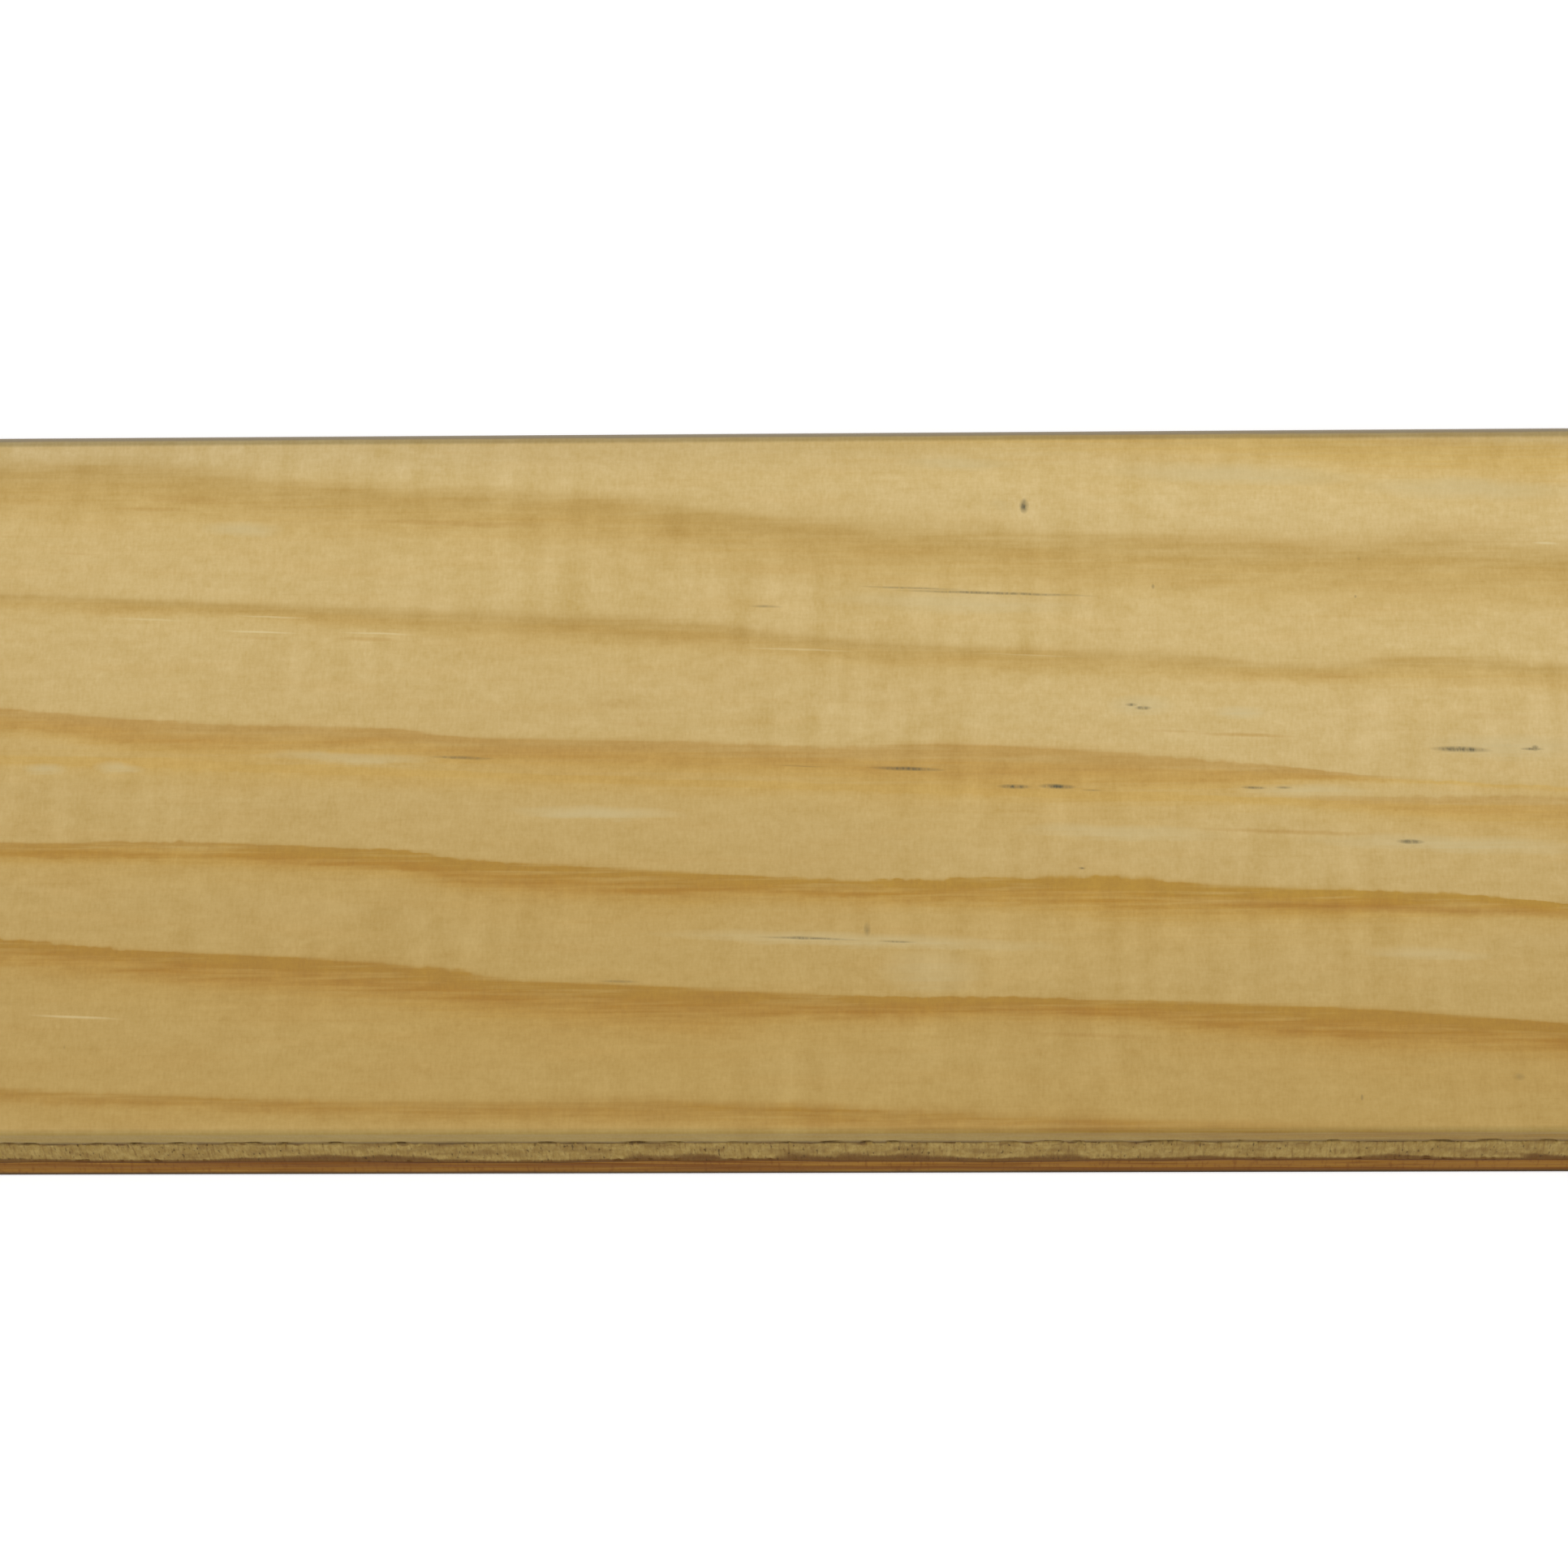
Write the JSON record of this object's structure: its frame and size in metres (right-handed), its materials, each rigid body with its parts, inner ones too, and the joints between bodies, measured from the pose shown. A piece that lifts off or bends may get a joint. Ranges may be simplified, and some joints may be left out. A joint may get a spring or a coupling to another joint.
{
  "type": "skirting board",
  "caption": "Plain flat skirting board of pine plywood, with a rounded top edge, a sawn floor edge and square ends.",
  "frame": {"origin": "middle of the back, on the plane that lies against the wall when fitted and on the floor when stored face up", "axes": "+X along the board, +Y from the edge that meets the floor to the rounded top edge, +Z out of the show face"},
  "size_m": [2.4, 0.08, 0.01],
  "materials": {
    "face_veneer": "satin",
    "core_veneer": "matte",
    "back_veneer": "matte"
  },
  "bodies": {
    "root": {"face_ply": "face_veneer", "core_ply": "core_veneer", "back_ply": "back_veneer"}
  },
  "joints": []
}
